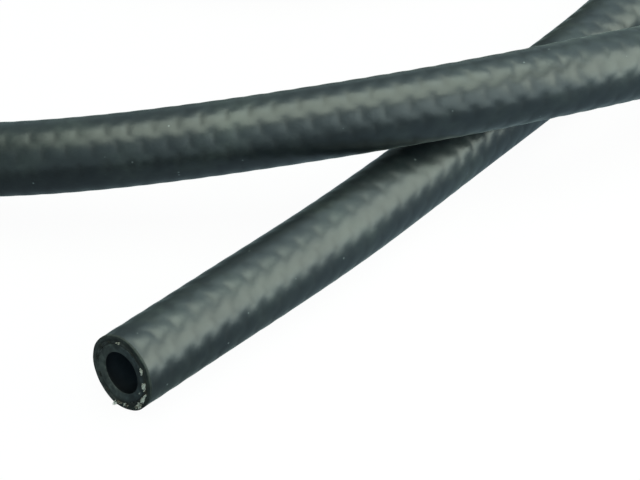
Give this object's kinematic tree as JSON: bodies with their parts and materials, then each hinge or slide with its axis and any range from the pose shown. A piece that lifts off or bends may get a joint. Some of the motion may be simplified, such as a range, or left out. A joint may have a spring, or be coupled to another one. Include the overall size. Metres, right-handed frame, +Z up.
{
  "type": "coiled air hose",
  "caption": "Black braid-reinforced rubber air hose with bare cut ends, one end laid across the other and the rest wound in a flat round coil.",
  "frame": {"origin": "on the floor, under the middle of the whole layout", "axes": "+Z up, +Y from the crossing runs in front towards the coil behind them, +X to the right when looking along +Y"},
  "size_m": [0.2431, 0.3548, 0.0331],
  "materials": {
    "cover_rubber": "satin",
    "braid_textile": "matte",
    "liner_rubber": "matte"
  },
  "bodies": {
    "root": {"liner_front_end": "liner_rubber", "liner_front": "liner_rubber", "liner_coil": "liner_rubber", "liner_cross": "liner_rubber", "liner_cross_end": "liner_rubber", "braid_front_end": "braid_textile", "braid_front": "braid_textile", "braid_coil": "braid_textile", "braid_cross": "braid_textile", "braid_cross_end": "braid_textile", "cover_front_end": "cover_rubber", "cover_front": "cover_rubber", "cover_coil": "cover_rubber", "cover_cross": "cover_rubber", "cover_cross_end": "cover_rubber"}
  },
  "joints": []
}
